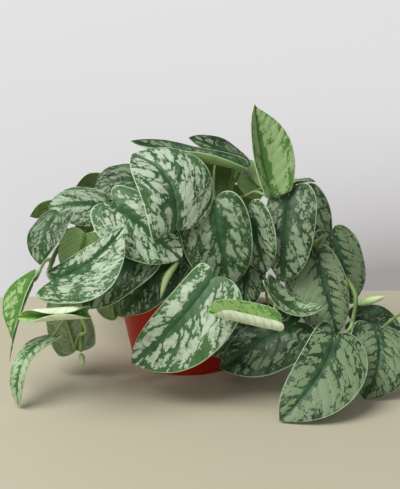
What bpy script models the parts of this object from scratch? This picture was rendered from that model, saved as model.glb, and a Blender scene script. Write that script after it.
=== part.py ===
"""Potted satin pothos: a plastic nursery pot, its soil, nine vine stems and their leaves.

All lengths are in millimetres and become metres only when a mesh is made.  The origin is the
centre of the pot's underside, +Z is up, +X is the plant's long way and -Y is its front.

A leaf is one piece: a heart-shaped blade and the stalk that carries it.  Each leaf is placed by
the point where the stalk meets the blade (base), the tip, and the way its upper side faces.
"""
import math

import bpy
import numpy as np

MM = 0.001
# Clear distance between the soil and the pot, and between a vine and the stalks seated on it.
GAP = 0.3
SEAT = 0.6

# Pot: a six-inch nursery pot.
POT_HEIGHT = 105.0
POT_BASE_RADIUS = 54.0
POT_SHOULDER_RADIUS = 71.5
POT_SHOULDER_HEIGHT = 88.0
POT_RIM_RADIUS = 76.0
POT_WALL = 1.8
POT_FLOOR = 2.4
POT_SIDES = 40
DRAIN_HOLES = 6
DRAIN_RADIUS = 5.0
DRAIN_CIRCLE = 38.0

# Soil: stands a little below the rim.
SOIL_TOP = 90.0

# Plant.
STEM_RADIUS = 2.6
STEM_SIDES = 7
STALK_RADIUS = 1.3
STALK_SIDES = 5
STALK_STEPS = 6
BLADE_THICKNESS = 1.0
BLADE_ROWS = 7
BLADE_COLUMNS = 2
ROLL_COLUMNS = 5

# Half of a leaf's outline: along its length, across its half width, from the notch to the tip.
OUTLINE = [
    (0.0, 0.0), (-0.06, 0.13), (-0.11, 0.38), (-0.08, 0.68), (0.05, 0.91), (0.23, 1.0),
    (0.42, 0.98), (0.60, 0.89), (0.77, 0.69), (0.90, 0.38), (1.0, 0.0),
]

# Each vine runs through these points, from the soil outwards.
STEMS = {
    "stem_front": [(8, -16, 90), (14, -30, 118), (12, -42, 142), (2, -50, 152)],
    "stem_left": [
        (-15, -6, 90), (-26, -14, 122), (-46, -26, 148), (-72, -38, 156), (-98, -58, 150),
        (-117, -74, 134), (-125, -86, 116),
    ],
    "stem_low_left": [
        (-26, -16, 90), (-46, -30, 114), (-68, -44, 112), (-84, -57, 92), (-96, -70, 66),
        (-98, -82, 36),
    ],
    "stem_right": [
        (22, 0, 90), (46, -6, 126), (76, -14, 148), (106, -27, 139), (127, -37, 119),
        (144, -46, 104), (158, -64, 86), (154, -80, 62),
    ],
    "stem_low_right": [
        (26, -22, 90), (46, -40, 112), (64, -55, 108), (76, -63, 96), (86, -68, 80),
    ],
    "stem_top": [(14, 16, 90), (26, 16, 130), (44, 6, 156), (58, -6, 166)],
    "stem_back_left": [
        (-14, 22, 90), (-36, 40, 120), (-60, 58, 124), (-82, 76, 100), (-92, 88, 62), (-94, 96, 30),
    ],
    "stem_back_right": [
        (20, 24, 90), (42, 46, 120), (64, 64, 122), (84, 82, 96), (94, 94, 58), (98, 104, 28),
    ],
    "stem_trailing": [
        (36, 6, 90), (66, 16, 116), (94, 20, 98), (112, 16, 50), (134, 8, 10), (170, -4, 4),
        (206, -18, 6), (226, -34, 30), (222, -48, 62),
    ],
}

# face: the way the upper side looks, as a heading from +X and a height above level, in degrees.
# bow and sweep: how far the midrib's middle stands proud of, and sideways from, a straight line.
# fold: how far each half is folded up along the midrib; curl: how far its margin then turns.
# skew: how much wider one half is than the other; lobe: length of each lobe by the notch.
# full: how much fuller than the outline each half stays towards the tip; narrow: how much
# narrower than the outline each half starts by the stalk. Pairs: right half, left half.
# stem and at: the vine that the stalk leaves, and where along it; via: a point it passes.
LEAVES = {
    "leaf_crown": dict(
        stem="stem_front", at=1.0, base=(-9, -92, 158), tip=(-49, -54, 218), face=(285, 42),
        width=74, bow=13, sweep=-13, fold=10, curl=(-25, -25), skew=-0.1, lobe=(0.5, 0.15),
        via=(-10, -64, 160), full=(0.5, 0.0), narrow=(0.0, 0.3)),
    "leaf_front": dict(
        stem="stem_front", at=0.62, base=(25, -102, 116), tip=(-49, -112, 37), face=(275, 40),
        width=68, bow=6, sweep=6, fold=8, curl=(-12, -12), skew=0.32, lobe=(0.4, 0.8),
        via=(4, -72, 116), full=(0.15, 0.15), narrow=(0.25, 0.0)),
    "leaf_centre": dict(
        stem="stem_front", at=0.85, base=(25, -66, 175), tip=(40, -78, 99), face=(268, 30),
        width=66, bow=6, fold=10, curl=(-15, -15), full=(0.2, 0.2), skew=-0.09),
    "leaf_under_front": dict(
        stem="stem_low_left", at=0.22, base=(-12, -62, 132), tip=(-60, -82, 72), face=(268, 20),
        width=46, bow=5, fold=10, skew=0.15),
    "leaf_shoulder": dict(
        stem="stem_left", at=0.25, base=(-43, -16, 182), tip=(-88, -20, 172), face=(240, 60),
        width=54, bow=8, fold=8, curl=(-20, -20)),
    "leaf_left_high": dict(
        stem="stem_left", at=0.42, base=(-64, -66, 175), tip=(-4, -91, 129), face=(262, 45),
        width=60, bow=4, fold=12, curl=(-15, -15), lobe=(1.4, 1.4), skew=-0.22, full=(0.0, 0.25)),
    "leaf_left_far": dict(
        stem="stem_left", at=0.55, base=(-76, -52, 169), tip=(-126, -62, 170), face=(262, 50),
        width=46, bow=4, fold=5, curl=(-30, -30)),
    "leaf_left_back": dict(
        stem="stem_left", at=0.62, base=(-108, -28, 162), tip=(-145, -50, 158), face=(90, 30),
        width=26, bow=6, fold=10, curl=(-40, -40)),
    "leaf_left_hanging": dict(
        stem="stem_left", at=0.74, base=(-115, -80, 169), tip=(-129, -112, 131), face=(235, 15),
        width=42, bow=8, fold=10, curl=(-30, -30)),
    "leaf_left_turned": dict(
        stem="stem_left", at=0.68, base=(-92, -76, 148), tip=(-104, -83, 108), face=(95, 10),
        width=40, fold=8),
    "leaf_left_wide": dict(
        stem="stem_left", at=1.0, base=(-117, -110, 117), tip=(-55, -95, 161), face=(285, 60),
        width=56, bow=6, sweep=-12, fold=15, curl=(-10, -10), skew=-0.5, lobe=(2.6, 0.3),
        narrow=(0.0, 0.2)),
    "leaf_left_young": dict(
        stem="stem_left", at=0.92, base=(-139, -88, 110), tip=(-162, -100, 34), face=(215, 30),
        width=42, bow=4, fold=35, curl=(-10, -10), full=(-9, -9)),
    "leaf_left_low": dict(
        stem="stem_low_left", at=0.35, base=(-36, -78, 133), tip=(-94, -96, 84), face=(262, 45),
        width=50, bow=5, fold=10, curl=(-10, -10), via=(-50, -64, 132)),
    "leaf_rim_turned": dict(
        stem="stem_low_left", at=0.55, base=(-66, -44, 58), tip=(-88, -50, 96), face=(60, 5),
        width=42),
    "leaf_arched": dict(
        stem="stem_low_left", at=0.75, base=(-127, -92, 53), tip=(-151, -130, 4), face=(225, 45),
        width=20, bow=17, fold=10, curl=(-10, -10), full=(0.5, 0.5), lobe=(1.2, 1.2),
        narrow=(-0.6, -0.6)),
    "leaf_low_turned": dict(
        stem="stem_low_left", at=0.9, base=(-105, -58, 28), tip=(-124, -38, 85), face=(85, 0),
        width=46, fold=8, lobe=(0.4, 0.4)),
    "leaf_left_rolled": dict(
        stem="stem_low_left", at=0.9, base=(-90, -134, 94), tip=(-153, -134, 89), face=(270, 25),
        width=36, bow=4, fold=10, curl=(170, 150), columns=ROLL_COLUMNS, full=(-1.5, -1.5),
        via=(-90, -114, 70)),
    "leaf_right_narrow": dict(
        stem="stem_right", at=0.24, base=(57, -50, 165), tip=(75, -66, 109), face=(250, 20),
        width=46, bow=4, fold=25, skew=0.1),
    "leaf_right_high": dict(
        stem="stem_right", at=0.38, base=(96, -40, 179), tip=(89, -71, 101), face=(260, 30),
        width=48, bow=6, fold=10, curl=(-20, -20), skew=0.15, full=(0.1, 0.4)),
    "leaf_right_behind": dict(
        stem="stem_right", at=0.48, base=(113, 6, 167), tip=(124, -24, 99), face=(290, 30),
        width=46, bow=6, fold=8, curl=(-20, -20)),
    "leaf_right_wide": dict(
        stem="stem_right", at=0.58, base=(122, -50, 117), tip=(141, -74, 50), face=(275, 30),
        width=58, bow=6, fold=8, curl=(-25, -25), lobe=(1.4, 1.4), skew=-0.25),
    "leaf_right_last": dict(
        stem="stem_right", at=0.52, base=(138, -20, 131), tip=(158, -40, 68), face=(290, 25),
        width=50, bow=6, fold=6, curl=(-20, -20)),
    "leaf_right_front": dict(
        stem="stem_right", at=1.0, base=(136, -98, 58), tip=(83, -160, 2), face=(272, 50),
        width=66, bow=8, sweep=9, fold=8, curl=(-12, -12), skew=0.2, full=(0.0, 0.15),
        narrow=(0.45, 0.1)),
    "leaf_right_low": dict(
        stem="stem_low_right", at=1.0, base=(104, -75, 63), tip=(31, -92, 24), face=(268, 45),
        width=56, bow=4, fold=8, curl=(-15, -15), skew=0.25),
    "leaf_right_under": dict(
        stem="stem_low_right", at=0.8, base=(81, -62, 62), tip=(25, -76, 29), face=(265, 45),
        width=44, bow=4),
    "leaf_right_rolled": dict(
        stem="stem_low_right", at=0.95, base=(78, -129, 78), tip=(20, -143, 98), face=(270, 50),
        width=38, bow=-1, fold=5, curl=(25, 260), columns=ROLL_COLUMNS, full=(0.6, 0.3),
        via=(80, -97, 79)),
    "leaf_right_folded": dict(
        stem="stem_low_right", at=0.72, base=(78, -80, 99), tip=(126, -100, 87), face=(280, 60),
        width=24, fold=20, bow=-18),
    "leaf_end": dict(
        stem="stem_trailing", at=1.0, base=(179, -70, 52), tip=(163, -113, 2), face=(280, 45),
        width=62, bow=8, sweep=6, fold=8, curl=(-12, -12), full=(0.0, 0.3), narrow=(0.3, 0.0)),
    "leaf_end_behind": dict(
        stem="stem_trailing", at=0.72, base=(160, -30, 48), tip=(207, -40, 42), face=(280, 60),
        width=40, bow=4),
    "leaf_upright": dict(
        stem="stem_top", at=1.0, base=(79, -50, 179), tip=(63, -36, 261), face=(306, 5),
        width=55, bow=-3, fold=24, curl=(10, 10), lobe=(0.2, 0.2), full=(-0.6, 0.0),
        narrow=(0.8, 0.5), skew=-0.25),
    "leaf_top": dict(
        stem="stem_top", at=0.75, base=(47, -10, 196), tip=(-52, -20, 223), face=(268, 62),
        width=40, bow=-2, fold=5, curl=(-10, 105), skew=0.15),
    "leaf_top_behind": dict(
        stem="stem_top", at=0.6, base=(56, 24, 188), tip=(2, 16, 218), face=(285, 60),
        width=32, bow=4, fold=5),
    "leaf_top_turned": dict(
        stem="stem_top", at=0.9, base=(75, 30, 163), tip=(48, 46, 187), face=(100, 10),
        width=34),
    "leaf_right_edge_on": dict(
        stem="stem_right", at=0.3, base=(91, 10, 168), tip=(124, 2, 178), face=(90, 88),
        width=20, bow=4),
    "leaf_shoulder_turned": dict(
        stem="stem_left", at=0.3, base=(-71, 10, 172), tip=(-111, 2, 160), face=(60, 40),
        width=42, bow=6, fold=5),
    "leaf_left_side": dict(
        stem="stem_back_left", at=0.5, base=(-84, 36, 142), tip=(-114, 56, 84), face=(150, 35),
        width=54, bow=6, fold=8, curl=(-15, -15)),
    "leaf_back_top": dict(
        stem="stem_top", at=0.45, base=(28, 44, 186), tip=(28, 64, 142), face=(88, 25),
        width=44, bow=8, fold=8, curl=(-15, -15)),
    "leaf_back_centre": dict(
        stem="stem_back_left", at=0.3, base=(-14, 64, 160), tip=(-22, 106, 96), face=(95, 35),
        width=60, bow=7, fold=8, curl=(-15, -15)),
    "leaf_back_left": dict(
        stem="stem_back_left", at=0.42, base=(-60, 76, 144), tip=(-78, 114, 84), face=(115, 30),
        width=56, bow=6, fold=8, curl=(-15, -15)),
    "leaf_back_left_low": dict(
        stem="stem_back_left", at=0.7, base=(-72, 98, 100), tip=(-98, 122, 36), face=(120, 30),
        width=52, bow=5, fold=8, curl=(-12, -12)),
    "leaf_back_left_end": dict(
        stem="stem_back_left", at=1.0, base=(-84, 118, 34), tip=(-50, 166, 2), face=(90, 55),
        width=54, bow=7, fold=8, curl=(-12, -12)),
    "leaf_back_right": dict(
        stem="stem_back_right", at=0.4, base=(40, 78, 150), tip=(60, 118, 84), face=(80, 30),
        width=60, bow=6, fold=8, curl=(-15, -15)),
    "leaf_right_side": dict(
        stem="stem_back_right", at=0.52, base=(98, 66, 132), tip=(136, 84, 74), face=(45, 35),
        width=54, bow=6, fold=8, curl=(-15, -15)),
    "leaf_back_right_low": dict(
        stem="stem_back_right", at=0.72, base=(82, 112, 90), tip=(104, 142, 34), face=(65, 30),
        width=52, bow=5, fold=8, curl=(-12, -12)),
    "leaf_back_right_end": dict(
        stem="stem_back_right", at=1.0, base=(92, 125, 32), tip=(52, 166, 2), face=(80, 55),
        width=54, bow=7, fold=8, curl=(-12, -12)),
    "leaf_inner": dict(
        stem="stem_low_right", at=0.3, base=(56, -46, 136), tip=(53, -85, 75), face=(292, 30),
        width=36, bow=3, fold=8, curl=(-10, -10), via=(54, -44, 122), skew=0.1),
}

# A shoot is a tight roll that has not opened yet: a spindle along these points.
SHOOTS = {
    "shoot_right": dict(points=[(161, -71, 79), (172, -76, 85), (184, -80, 90)], radius=4.0),
    "shoot_front": dict(points=[(-7, -91, 127), (-17, -94, 113), (-23, -97, 94)], radius=3.6),
    "shoot_left": dict(points=[(-98, -83, 35), (-97, -86, 30), (-96, -88, 24)], radius=3.4),
}


def smooth_through(points, position):
    """A Catmull-Rom curve through points, read at positions from 0 to 1."""
    given = np.asarray(points, dtype=float)
    spans = len(given) - 1
    padded = np.vstack([2 * given[0] - given[1], given, 2 * given[-1] - given[-2]])
    place = np.clip(np.asarray(position, dtype=float), 0.0, 1.0) * spans
    span = np.minimum(place.astype(int), spans - 1)
    part = (place - span)[..., None]
    before, start, end, after = (padded[span + shift] for shift in range(4))
    return 0.5 * (
        2 * start + (end - before) * part
        + (2 * before - 5 * start + 4 * end - after) * part ** 2
        + (3 * start - before - 3 * end + after) * part ** 3)


def unit(vector):
    return vector / np.linalg.norm(vector)


def material(name, colour, roughness):
    """A plain Principled material."""
    made = bpy.data.materials.new(name)
    made.use_nodes = True
    shader = made.node_tree.nodes["Principled BSDF"]
    shader.inputs["Base Color"].default_value = (*colour, 1.0)
    shader.inputs["Roughness"].default_value = roughness
    shader.inputs["Metallic"].default_value = 0.0
    return made


def add_object(name, vertices, faces, finish):
    """An object from points in millimetres, its faces pointing out."""
    mesh = bpy.data.meshes.new(name)
    mesh.from_pydata((np.asarray(vertices) * MM).tolist(), [], faces)
    mesh.materials.append(finish)
    mesh.validate()
    made = bpy.data.objects.new(name, mesh)
    bpy.context.collection.objects.link(made)
    return made


def combine(target, other, operation):
    """Join other to target, or cut it away, and drop other."""
    modifier = target.modifiers.new(operation.title(), "BOOLEAN")
    modifier.operation = operation
    modifier.solver = "EXACT"
    modifier.object = other
    bpy.context.view_layer.update()
    graph = bpy.context.evaluated_depsgraph_get()
    result = bpy.data.meshes.new_from_object(target.evaluated_get(graph))
    target.modifiers.clear()
    target.data = result
    bpy.data.objects.remove(other)


def tube(path, radii, sides):
    """Points and faces of a closed tube with flat ends along a path."""
    path = np.asarray(path, dtype=float)
    tangents = np.gradient(path, axis=0)
    across = unit(np.cross(tangents[0], (0.31, 0.17, 0.93)))
    vertices = []
    angles = np.arange(sides) * 2 * math.pi / sides
    for point, tangent, radius in zip(path, tangents, radii):
        along = unit(tangent)
        across = unit(across - np.dot(across, along) * along)
        other = np.cross(along, across)
        for angle in angles:
            vertices.append(point + radius * (math.cos(angle) * across + math.sin(angle) * other))
    faces = [tuple(reversed(range(sides)))]
    for ring in range(len(path) - 1):
        for side in range(sides):
            start, following = ring * sides + side, ring * sides + (side + 1) % sides
            faces.append((start, following, following + sides, start + sides))
    last = (len(path) - 1) * sides
    faces.append(tuple(range(last, last + sides)))
    return vertices, faces


def half_section(fold, curl, reach, half_width):
    """Distance across and height of a half blade that starts at fold and turns by curl."""
    start, turn = math.radians(fold), math.radians(curl)
    if abs(turn) < 0.001:
        return half_width * reach * math.cos(start), half_width * reach * math.sin(start)
    radius = half_width / turn
    across = radius * (np.sin(start + turn * reach) - math.sin(start))
    height = radius * (math.cos(start) - np.cos(start + turn * reach))
    return across, height


def leaf_frame(leaf):
    """Length and the three directions of a leaf: to the tip, to its left, and up from it."""
    along = np.subtract(leaf["tip"], leaf["base"]).astype(float)
    length = np.linalg.norm(along)
    along /= length
    heading, height = (math.radians(angle) for angle in leaf["face"])
    look = np.array([
        math.cos(heading) * math.cos(height), math.sin(heading) * math.cos(height),
        math.sin(height)])
    up = unit(look - np.dot(look, along) * along)
    return length, along, np.cross(up, along), up


def blade_sheet(leaf, rows, columns):
    """The blade's middle surface, a grid of points: rows run as its veins do."""
    length, along, left, up = leaf_frame(leaf)
    row = np.linspace(0.0, 1.0, rows + 1)
    column = np.linspace(-1.0, 1.0, 2 * columns + 1)
    margin = smooth_through(OUTLINE, row)
    from_midrib = np.abs(column)[None, :]
    x = (row ** 1.25)[:, None] * (1 - from_midrib) + margin[:, :1] * from_midrib
    lobe = np.where(column < 0, *leaf.get("lobe", (1.0, 1.0)))[None, :]
    x = np.where(x < 0, x * lobe, x)
    bulge = 4 * x * (1 - x)
    across, height = np.zeros_like(x), np.zeros_like(x)
    halves = [leaf.get(key, (0, 0)) for key in ("curl", "full", "narrow")]
    for side, curl, full, narrow in zip((-1, 1), *halves):
        reach = margin[:, 1:] ** (1 - full * row[:, None]) * from_midrib
        reach = reach * (1 - narrow * (1 - row[:, None]) ** 2)
        half_width = leaf["width"] / 2 * (1 + side * leaf.get("skew", 0.0))
        run, rise = half_section(leaf.get("fold", 8), curl, reach, half_width)
        half = column * side >= 0
        across[:, half] = (side * run)[:, half]
        height[:, half] = rise[:, half]
    sideways = across + leaf.get("sweep", 0) * bulge
    upwards = height + leaf.get("bow", 0) * bulge
    return (
        np.array(leaf["base"], dtype=float) + (x * length)[..., None] * along
        + sideways[..., None] * left + upwards[..., None] * up)


def sheet_normals(sheet):
    """Unit normals of a grid of points, pointing to the blade's upper side."""
    along = np.gradient(sheet, axis=0)
    across = np.gradient(sheet, axis=1)
    across[0] = across[1]
    across[-1] = across[-2]
    normals = np.cross(along, across)
    return normals / np.maximum(np.linalg.norm(normals, axis=-1, keepdims=True), 1e-9)


def blade_solid(leaf):
    """Points and faces of the blade as a closed plate."""
    columns = leaf.get("columns", BLADE_COLUMNS)
    sheet = blade_sheet(leaf, BLADE_ROWS, columns)
    normals = sheet_normals(sheet)
    normals[0] = normals[1, columns]
    normals[-1] = normals[-2, columns]
    vertices, top, bottom = [], {}, {}
    count_rows, count_columns = sheet.shape[:2]
    for index, side in ((top, 0.5), (bottom, -0.5)):
        for i in range(count_rows):
            for j in range(count_columns):
                if i in (0, count_rows - 1) and j > 0:
                    index[i, j] = index[i, 0]
                    continue
                index[i, j] = len(vertices)
                vertices.append(sheet[i, j] + side * BLADE_THICKNESS * normals[i, j])
    faces = []

    def add(*corners):
        kept = tuple(dict.fromkeys(corners))
        if len(kept) > 2:
            faces.append(kept)

    last = count_columns - 1
    for i in range(count_rows - 1):
        for j in range(last):
            add(top[i, j], top[i + 1, j], top[i + 1, j + 1], top[i, j + 1])
            add(bottom[i, j], bottom[i, j + 1], bottom[i + 1, j + 1], bottom[i + 1, j])
        add(top[i, 0], bottom[i, 0], bottom[i + 1, 0], top[i + 1, 0])
        add(top[i, last], top[i + 1, last], bottom[i + 1, last], bottom[i, last])
    return vertices, faces


def stem_point(name, at):
    """A point on a vine's centre line and the vine's direction there."""
    here = smooth_through(STEMS[name], [at])[0]
    near = smooth_through(STEMS[name], [max(at - 0.01, 0.0), min(at + 0.01, 1.0)])
    return here, unit(near[1] - near[0])


def stalk_path(leaf):
    """The stalk's curve, from the vine's skin to just under the blade at the notch."""
    length, along, left, up = leaf_frame(leaf)
    centre, direction = stem_point(leaf["stem"], leaf["at"])
    notch = np.array(leaf["base"], dtype=float)
    if leaf["at"] >= 1.0:
        out = direction
        start = centre + SEAT * out
    else:
        out = notch - centre
        out = unit(out - np.dot(out, direction) * direction)
        start = centre + (STEM_RADIUS + SEAT) * out
    reach = np.linalg.norm(notch - start)
    inside = 2.5 / length
    bulge = 4 * inside * (1 - inside)
    end = notch + 2.5 * along + bulge * (leaf.get("bow", 0) * up + leaf.get("sweep", 0) * left)
    if "via" in leaf:
        return smooth_through([start, leaf["via"], end], np.linspace(0.0, 1.0, STALK_STEPS + 1))
    first = start + 0.40 * reach * out + np.array([0.0, 0.0, 0.1 * reach])
    second = end + 0.35 * reach * unit(-0.5 * along - up)
    steps = np.linspace(0.0, 1.0, STALK_STEPS + 1)[:, None]
    return (
        start * (1 - steps) ** 3 + 3 * first * steps * (1 - steps) ** 2
        + 3 * second * steps ** 2 * (1 - steps) + end * steps ** 3)


def make_leaf(name, leaf, finish):
    """A leaf: its blade joined to its stalk."""
    made = add_object(name, *blade_solid(leaf), finish)
    path = stalk_path(leaf)
    radii = [STALK_RADIUS] * len(path)
    stalk = add_object(name + "_stalk", *tube(path, radii, STALK_SIDES), finish)
    combine(made, stalk, "UNION")
    return made


def make_stem(name, points, finish):
    """A vine, from just above the soil to its end."""
    steps = 3 * (len(points) - 1)
    path = smooth_through(points, np.linspace(0.0, 1.0, steps + 1))
    lean = math.hypot(*unit(path[1] - path[0])[:2])
    path[0, 2] += GAP + STEM_RADIUS * lean
    return add_object(name, *tube(path, [STEM_RADIUS] * len(path), STEM_SIDES), finish)


def make_shoot(name, shoot, finish):
    """An unopened shoot: a spindle that is widest a third of the way along."""
    position = np.linspace(0.0, 1.0, 7)
    radii = shoot["radius"] * np.interp(position, [0, 0.15, 0.4, 0.8, 1.0], [0.45, 0.8, 1, 0.7, 0.12])
    return add_object(name, *tube(smooth_through(shoot["points"], position), radii, 8), finish)


def turned(name, profile, sides, finish):
    """A body turned about Z from a half profile that starts and ends on the axis."""
    angles = np.arange(sides) * 2 * math.pi / sides
    rings, vertices = [], []
    for radius, height in profile:
        if radius == 0.0:
            rings.append([len(vertices)])
            vertices.append((0.0, 0.0, height))
            continue
        rings.append([len(vertices) + side for side in range(sides)])
        vertices += [(radius * math.cos(a), radius * math.sin(a), height) for a in angles]
    faces = []
    for lower, upper in zip(rings, rings[1:]):
        for side in range(sides):
            following = (side + 1) % sides
            corners = [
                lower[side % len(lower)], lower[following % len(lower)],
                upper[following % len(upper)], upper[side % len(upper)]]
            faces.append(tuple(dict.fromkeys(corners)))
    return add_object(name, vertices, faces, finish)


def make_pot(finish):
    """The pot: tapered wall, rim band, flat floor with a ring of drainage holes."""
    slope = (POT_SHOULDER_RADIUS - POT_BASE_RADIUS) / POT_SHOULDER_HEIGHT
    inner_floor = POT_BASE_RADIUS - POT_WALL + slope * POT_FLOOR
    profile = [
        (0.0, 0.0), (POT_BASE_RADIUS - 1.5, 0.0), (POT_BASE_RADIUS, 1.5),
        (POT_SHOULDER_RADIUS, POT_SHOULDER_HEIGHT),
        (POT_RIM_RADIUS - 0.8, POT_SHOULDER_HEIGHT), (POT_RIM_RADIUS, POT_SHOULDER_HEIGHT + 0.8),
        (POT_RIM_RADIUS, POT_HEIGHT - 1.0), (POT_RIM_RADIUS - 1.0, POT_HEIGHT),
        (POT_RIM_RADIUS - POT_WALL - 1.2, POT_HEIGHT),
        (POT_SHOULDER_RADIUS - POT_WALL + 0.6, POT_SHOULDER_HEIGHT),
        (inner_floor, POT_FLOOR), (0.0, POT_FLOOR),
    ]
    pot = turned("pot", profile, POT_SIDES, finish)
    for hole in range(DRAIN_HOLES):
        angle = 2 * math.pi * hole / DRAIN_HOLES
        centre = np.array([DRAIN_CIRCLE * math.cos(angle), DRAIN_CIRCLE * math.sin(angle), 0.0])
        path = [centre + (0, 0, -2.0), centre + (0, 0, POT_FLOOR + 2.0)]
        cutter = add_object("drain", *tube(path, [DRAIN_RADIUS] * 2, 10), finish)
        combine(pot, cutter, "DIFFERENCE")
    return pot


def make_soil(finish):
    """The soil: fills the pot to a little below the rim."""
    slope = (POT_SHOULDER_RADIUS - POT_BASE_RADIUS) / POT_SHOULDER_HEIGHT
    floor_radius = POT_BASE_RADIUS - POT_WALL - GAP + slope * POT_FLOOR
    top_radius = POT_SHOULDER_RADIUS - POT_WALL - GAP
    profile = [
        (0.0, POT_FLOOR + GAP), (floor_radius, POT_FLOOR + GAP),
        (top_radius, SOIL_TOP - 3.0), (top_radius - 6.0, SOIL_TOP), (0.0, SOIL_TOP),
    ]
    return turned("soil", profile, POT_SIDES, finish)


def main():
    for old in list(bpy.data.objects):
        bpy.data.objects.remove(old, do_unlink=True)
    plastic = material("pot_plastic", (0.40, 0.03, 0.012), 0.35)
    earth = material("soil", (0.03, 0.02, 0.012), 0.95)
    green = material("leaf", (0.11, 0.20, 0.10), 0.45)
    pale = material("young_leaf", (0.30, 0.46, 0.20), 0.45)
    stalk = material("stem", (0.16, 0.28, 0.07), 0.5)
    make_pot(plastic)
    make_soil(earth)
    for name, points in STEMS.items():
        make_stem(name, points, stalk)
    for name, shoot in SHOOTS.items():
        make_shoot(name, shoot, pale)
    young = {"leaf_left_young", "leaf_upright", "leaf_left_rolled", "leaf_right_rolled"}
    for name, leaf in LEAVES.items():
        make_leaf(name, leaf, pale if name in young else green)


main()
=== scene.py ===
"""The finished look of the potted satin pothos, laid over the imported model.

Every leaf, vine, shoot, the soil and the pot get a fine surface in place of their plain solid.
Lengths are in millimetres and become metres only when a mesh is made.  The leaves are worked
out from the same table and the same formula as the solids, on a finer grid.
"""

import math

import bpy
import numpy as np
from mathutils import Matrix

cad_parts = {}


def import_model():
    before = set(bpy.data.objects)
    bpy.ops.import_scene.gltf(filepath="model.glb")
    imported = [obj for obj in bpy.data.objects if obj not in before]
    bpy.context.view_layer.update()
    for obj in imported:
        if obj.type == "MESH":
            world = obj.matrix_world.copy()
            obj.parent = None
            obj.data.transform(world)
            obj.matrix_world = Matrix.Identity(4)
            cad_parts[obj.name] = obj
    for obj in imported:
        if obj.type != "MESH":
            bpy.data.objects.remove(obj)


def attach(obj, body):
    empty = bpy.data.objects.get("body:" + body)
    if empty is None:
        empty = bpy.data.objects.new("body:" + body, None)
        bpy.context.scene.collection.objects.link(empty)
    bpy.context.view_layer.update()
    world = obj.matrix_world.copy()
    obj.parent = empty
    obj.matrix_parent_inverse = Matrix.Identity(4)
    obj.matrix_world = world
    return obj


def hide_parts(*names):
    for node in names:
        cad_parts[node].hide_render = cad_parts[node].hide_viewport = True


MM = 0.001

# ---- Sizes ----

# The pot and the soil in it.
POT_HEIGHT = 105.0
POT_BASE_RADIUS = 54.0
POT_SHOULDER_RADIUS = 71.5
POT_SHOULDER_HEIGHT = 88.0
POT_RIM_RADIUS = 76.0
POT_WALL = 1.8
POT_LIP = 3.0
POT_FLOOR = 2.4
POT_TAPER = (POT_SHOULDER_RADIUS - POT_BASE_RADIUS) / POT_SHOULDER_HEIGHT
POT_ROUNDING = 1.4
POT_SIDES = 144
DRAIN_HOLES = 6
DRAIN_RADIUS = 5.0
DRAIN_CIRCLE = 38.0
DRAIN_SIDES = 32
GAP = 0.3
SOIL_TOP = 90.0
SOIL_SIDES = 160
SOIL_RINGS = 46
# Height, length and start of each size of crumb on the soil.
CRUMBS = ((1.5, 17.0, 0.4), (0.8, 6.5, 2.1), (0.45, 3.1, 4.4))

# Vines, stalks, shoots and leaf blades.
STEM_RADIUS = 2.6
STEM_SIDES = 14
STEM_STEPS = 26
STEM_SUNK, STEM_END = 3.0, 1.5
JOINT_SWELL, JOINT_REACH = 0.26, 2.6
STALK_RADIUS = 1.35
STALK_SIDES = 10
STALK_STEPS = 22
# How far a stalk starts inside a vine's skin or its end, and how far under the blade it ends.
SUNK_IN_SIDE, SUNK_IN_END, UNDER_BLADE = 1.2, 1.5, 0.8
SHEATH_SWELL, SHEATH_REACH = 0.9, 4.0
NECK_SWELL, NECK_REACH = 0.25, 3.0
KEEL_START, KEEL_SHARE, KEEL_STEPS = 2.5, 0.75, 16
SHOOT_SIDES = 28
SHOOT_STEPS = 40
BLADE_THICKNESS = 0.7
BLADE_ROWS = 54
# Places of a half blade's columns, from the midrib to the margin.
BLADE_COLUMNS = np.append(np.linspace(0.0, 1.0, 15) ** 1.35 * 0.965, 1.0)
MIDRIB_DEPTH, MIDRIB_REACH = 0.9, 1.6
BLADE_SWELL = 0.5
MARGIN_WAVES = 1.6
# How many side veins, silver blotches and specks there are in a leaf's length.
VEINS = 8.5
BLOTCHES_ALONG, BLOTCHES_ACROSS = 6.8, 8.0
SPECKS_ALONG, SPECKS_ACROSS = 30.0, 34.0

# Half of a leaf's outline: along its length, across its half width, from the notch to the tip.
OUTLINE = [
    (0.0, 0.0), (-0.06, 0.13), (-0.11, 0.38), (-0.08, 0.68), (0.05, 0.91), (0.23, 1.0),
    (0.42, 0.98), (0.60, 0.89), (0.77, 0.69), (0.90, 0.38), (1.0, 0.0),
]

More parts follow.
